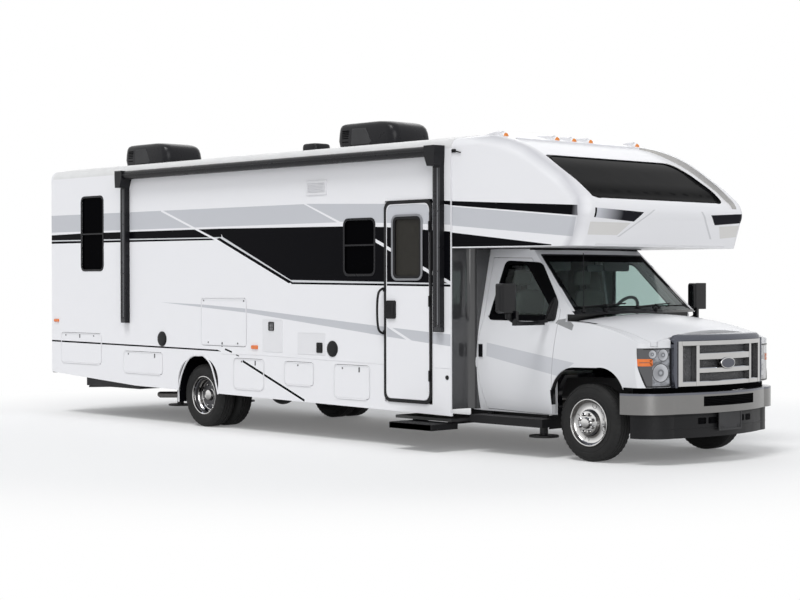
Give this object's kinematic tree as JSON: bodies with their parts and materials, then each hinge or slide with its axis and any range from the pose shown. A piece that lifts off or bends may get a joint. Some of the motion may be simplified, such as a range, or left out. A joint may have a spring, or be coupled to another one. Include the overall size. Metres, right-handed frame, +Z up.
{
  "type": "class c motorhome",
  "caption": "Motorhome on a van chassis: coach body with over-cab bunk, opening doors, slide room, entry step, steered front wheels and twin rear wheels.",
  "frame": {"origin": "on the ground under the middle of the vehicle's box", "axes": "+X forward, +Y to the vehicle's left, +Z up"},
  "size_m": [9.89, 3.194, 3.52],
  "materials": {
    "body_white": "white gelcoat and paint with printed stripes",
    "black_trim": "black powder coat and moulded plastic",
    "grey_panel": "dark grey moulded panel",
    "dark_glass": "dark tinted glass",
    "clear_glass": "lightly tinted glass",
    "lamp_plastic": "clear, amber and red lenses",
    "chrome": "bright plating",
    "tyre": "black rubber",
    "chassis_steel": "black chassis paint",
    "tank_plastic": "black moulded plastic",
    "cab_plastic": "grey grained plastic",
    "seat_fabric": "grey woven cloth",
    "floor_wood": "plywood deck"
  },
  "bodies": {
    "coach": {"awning": "black_trim", "cab_seats": "seat_fabric", "cab_shell": "body_white", "coach_windows": "dark_glass", "cross_members": "chassis_steel", "dashboard": "cab_plastic", "engine_and_driveshaft": "chassis_steel", "entry_frame": "black_trim", "exhaust": "chassis_steel", "fairings": "grey_panel", "fenders": "body_white", "floor": "floor_wood", "frame_rails": "chassis_steel", "front_axle": "chassis_steel", "front_bumper": "chrome", "grille": "chrome", "lamps": "lamp_plastic", "levelling_jacks": "chassis_steel", "overcab": "body_white", "rear_axle": "chassis_steel", "rear_bumper": "chassis_steel", "rear_wall": "body_white", "roof": "body_white", "roof_units": "black_trim", "running_boards": "black_trim", "skirts": "body_white", "storage_bins": "tank_plastic", "tanks": "tank_plastic", "valance": "black_trim", "wall_left": "body_white", "wall_right": "body_white", "windshield": "clear_glass"},
    "hood": {"hood": "body_white"},
    "cab_door_right": {"cab_door_right": "body_white", "cab_door_glass_right": "clear_glass"},
    "cab_door_left": {"cab_door_left": "body_white", "cab_door_glass_left": "clear_glass"},
    "entry_door": {"entry_door": "body_white", "entry_door_glass": "dark_glass"},
    "entry_step": {"entry_step": "chassis_steel"},
    "slide_room": {"slide_room": "body_white", "slide_window": "dark_glass"},
    "knuckle_right": {"knuckle_right": "chassis_steel"},
    "knuckle_left": {"knuckle_left": "chassis_steel"},
    "wheel_front_right": {"tyre_front_right": "tyre", "rim_front_right": "chrome"},
    "wheel_front_left": {"tyre_front_left": "tyre", "rim_front_left": "chrome"},
    "wheels_rear_right": {"tyres_rear_right": "tyre", "rims_rear_right": "chrome"},
    "wheels_rear_left": {"tyres_rear_left": "tyre", "rims_rear_left": "chrome"},
    "baggage_door_r1": {"baggage_door_r1": "body_white"},
    "baggage_door_r2": {"baggage_door_r2": "body_white"},
    "baggage_door_r3": {"baggage_door_r3": "body_white"},
    "baggage_door_r4": {"baggage_door_r4": "body_white"},
    "baggage_door_r5": {"baggage_door_r5": "body_white"},
    "baggage_door_r6": {"baggage_door_r6": "body_white"},
    "baggage_door_l1": {"baggage_door_l1": "body_white"},
    "baggage_door_l2": {"baggage_door_l2": "body_white"}
  },
  "joints": [
    {"name": "steer_right", "type": "hinge", "parent": "coach", "child": "knuckle_right", "pos_m": [4.035, -0.8, 0.368], "axis": [0, 0, 1], "range_deg": [-35, 35]},
    {"name": "roll_front_right", "type": "hinge", "parent": "knuckle_right", "child": "wheel_front_right", "pos_m": [4.035, -0.881, 0.368], "axis": [0, 1, 0], "continuous": true},
    {"name": "roll_rear_right", "type": "hinge", "parent": "coach", "child": "wheels_rear_right", "pos_m": [-1.655, -0.98, 0.368], "axis": [0, 1, 0], "continuous": true},
    {"name": "open_cab_door_right", "type": "hinge", "parent": "coach", "child": "cab_door_right", "pos_m": [3.652, -1.014, 1], "axis": [0, 0, 1], "range_deg": [0, 65]},
    {"name": "steer_left", "type": "hinge", "parent": "coach", "child": "knuckle_left", "pos_m": [4.035, 0.8, 0.368], "axis": [0, 0, 1], "range_deg": [-35, 35]},
    {"name": "roll_front_left", "type": "hinge", "parent": "knuckle_left", "child": "wheel_front_left", "pos_m": [4.035, 0.881, 0.368], "axis": [0, 1, 0], "continuous": true},
    {"name": "roll_rear_left", "type": "hinge", "parent": "coach", "child": "wheels_rear_left", "pos_m": [-1.655, 0.98, 0.368], "axis": [0, 1, 0], "continuous": true},
    {"name": "open_cab_door_left", "type": "hinge", "parent": "coach", "child": "cab_door_left", "pos_m": [3.652, 1.014, 1], "axis": [0, 0, -1], "range_deg": [0, 65]},
    {"name": "lift_hood", "type": "hinge", "parent": "coach", "child": "hood", "pos_m": [3.845, 0, 1.378], "axis": [0, -1, 0], "range_deg": [0, 50]},
    {"name": "open_entry_door", "type": "hinge", "parent": "coach", "child": "entry_door", "pos_m": [2.2093, -1.2953, 1.5], "axis": [0, 0, 1], "range_deg": [0, 90]},
    {"name": "retract_step", "type": "slide", "parent": "coach", "child": "entry_step", "axis": [0, 1, 0], "range_m": [0, 0.26]},
    {"name": "extend_slide_room", "type": "slide", "parent": "coach", "child": "slide_room", "axis": [0, 1, 0], "range_m": [0, 0.7]},
    {"name": "open_baggage_door_r1", "type": "hinge", "parent": "coach", "child": "baggage_door_r1", "pos_m": [-4.14, -1.2803, 0.6607], "axis": [1, 0, 0], "range_deg": [0, 120]},
    {"name": "open_baggage_door_r2", "type": "hinge", "parent": "coach", "child": "baggage_door_r2", "pos_m": [-2.783, -1.2803, 0.5807], "axis": [1, 0, 0], "range_deg": [0, 120]},
    {"name": "open_baggage_door_r3", "type": "hinge", "parent": "coach", "child": "baggage_door_r3", "pos_m": [-1.18, -1.2803, 1.5133], "axis": [-1, 0, 0], "range_deg": [0, 95]},
    {"name": "open_baggage_door_r4", "type": "hinge", "parent": "coach", "child": "baggage_door_r4", "pos_m": [-0.72, -1.2803, 0.4797], "axis": [1, 0, 0], "range_deg": [0, 120]},
    {"name": "open_baggage_door_r5", "type": "hinge", "parent": "coach", "child": "baggage_door_r5", "pos_m": [0.1595, -1.2803, 0.5647], "axis": [1, 0, 0], "range_deg": [0, 120]},
    {"name": "open_baggage_door_r6", "type": "hinge", "parent": "coach", "child": "baggage_door_r6", "pos_m": [1.0255, -1.2803, 0.4597], "axis": [1, 0, 0], "range_deg": [0, 120]},
    {"name": "open_baggage_door_l1", "type": "hinge", "parent": "coach", "child": "baggage_door_l1", "pos_m": [-4.14, 1.2803, 0.6607], "axis": [-1, 0, 0], "range_deg": [0, 120]},
    {"name": "open_baggage_door_l2", "type": "hinge", "parent": "coach", "child": "baggage_door_l2", "pos_m": [1.0255, 1.2803, 0.4597], "axis": [-1, 0, 0], "range_deg": [0, 120]}
  ],
  "couplings": [
    {"joint": "steer_left", "follows": "steer_right", "ratio": 1}
  ]
}
